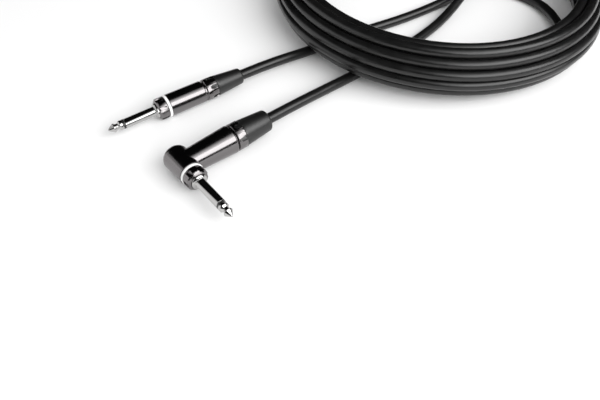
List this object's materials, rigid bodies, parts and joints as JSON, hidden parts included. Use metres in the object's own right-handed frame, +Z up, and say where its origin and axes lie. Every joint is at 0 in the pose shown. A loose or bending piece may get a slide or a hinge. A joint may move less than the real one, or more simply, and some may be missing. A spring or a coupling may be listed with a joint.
{
  "type": "instrument cable",
  "caption": "Coiled instrument cable with a straight jack plug on one end and a right-angle jack plug on the other.",
  "frame": {"origin": "on the table, below the middle of the box around the two plugs", "axes": "+Z up; +X to the right and +Y away as the cable lies, with the coil at +X +Y; straight plug cable end at 34.8 degrees from +X, right-angle plug arm at 39.4 degrees"},
  "size_m": [0.3546, 0.3665, 0.0398],
  "materials": {
    "contact": "polished nickel plate",
    "insulator": "moulded black insulator",
    "lug": "tinned brass strip",
    "shell": "dark polished nickel over turned or cast metal",
    "ring": "plain white moulded plastic",
    "liner": "thin insulating tube",
    "chuck": "moulded acetal",
    "boot": "matte black moulded boot",
    "jacket": "satin black PVC jacket",
    "copper": "bare copper wire",
    "core": "natural polyethylene",
    "solder": "tin solder"
  },
  "bodies": {
    "root": {"angled_cable_jacket": "jacket", "angled_conductor": "copper", "angled_contact_sleeve": "contact", "angled_core_insulation": "core", "angled_elbow_housing": "shell", "angled_ground_lug": "lug", "angled_ground_solder": "solder", "angled_lead": "jacket", "angled_liner": "liner", "angled_lug_washer": "insulator", "angled_rod_insulator": "insulator", "angled_screen": "copper", "angled_tip_contact": "contact", "angled_tip_insulator": "insulator", "angled_tip_lug": "lug", "angled_tip_solder": "solder", "cable_coil": "jacket", "straight_barrel": "shell", "straight_cable_jacket": "jacket", "straight_conductor": "copper", "straight_contact_sleeve": "contact", "straight_core_insulation": "core", "straight_ground_lug": "lug", "straight_ground_solder": "solder", "straight_lead": "jacket", "straight_liner": "liner", "straight_lug_washer": "insulator", "straight_rod_insulator": "insulator", "straight_screen": "copper", "straight_tip_contact": "contact", "straight_tip_insulator": "insulator", "straight_tip_lug": "lug", "straight_tip_solder": "solder"},
    "straight_ring_carrier": {"straight_colour_ring": "ring"},
    "straight_front_nut": {"straight_front_nut": "shell"},
    "straight_chuck": {"straight_chuck": "chuck"},
    "straight_gland": {"straight_gland_nut": "shell", "straight_boot": "boot"},
    "angled_ring_carrier": {"angled_colour_ring": "ring"},
    "angled_front_nut": {"angled_front_nut": "shell"},
    "angled_chuck": {"angled_chuck": "chuck"},
    "angled_gland": {"angled_gland_nut": "shell", "angled_boot": "boot"}
  },
  "joints": [
    {"name": "straight_ring_slide", "type": "slide", "parent": "root", "child": "straight_ring_carrier", "axis": [-0.8211, -0.5707, 0], "range_m": [0, 0.004]},
    {"name": "straight_front_nut_turn", "type": "hinge", "parent": "straight_ring_carrier", "child": "straight_front_nut", "pos_m": [-0.0249, 0.0236, 0.00735], "axis": [-0.8211, -0.5707, 0], "range_deg": [0, 1440]},
    {"name": "straight_chuck_slide", "type": "slide", "parent": "root", "child": "straight_chuck", "axis": [0.8211, 0.5707, 0], "range_m": [0, 0.005]},
    {"name": "straight_gland_turn", "type": "hinge", "parent": "straight_chuck", "child": "straight_gland", "pos_m": [0.00466, 0.04415, 0.00735], "axis": [0.8211, 0.5707, 0], "range_deg": [0, 1800]},
    {"name": "angled_ring_slide", "type": "slide", "parent": "root", "child": "angled_ring_carrier", "axis": [0.6347, -0.7727, 0], "range_m": [0, 0.004]},
    {"name": "angled_front_nut_turn", "type": "hinge", "parent": "angled_ring_carrier", "child": "angled_front_nut", "pos_m": [0.01198, -0.03992, 0.0091], "axis": [0.6347, -0.7727, 0], "range_deg": [0, 1440]},
    {"name": "angled_chuck_slide", "type": "slide", "parent": "root", "child": "angled_chuck", "axis": [0.7727, 0.6347, 0], "range_m": [0, 0.005]},
    {"name": "angled_gland_turn", "type": "hinge", "parent": "angled_chuck", "child": "angled_gland", "pos_m": [0.02812, -0.00285, 0.0091], "axis": [0.7727, 0.6347, 0], "range_deg": [0, 1800]}
  ],
  "couplings": [
    {"joint": "straight_ring_slide", "follows": "straight_front_nut_turn", "m_per_rad": 0.00015915},
    {"joint": "straight_chuck_slide", "follows": "straight_gland_turn", "m_per_rad": 0.00015915},
    {"joint": "angled_ring_slide", "follows": "angled_front_nut_turn", "m_per_rad": 0.00015915},
    {"joint": "angled_chuck_slide", "follows": "angled_gland_turn", "m_per_rad": 0.00015915}
  ]
}
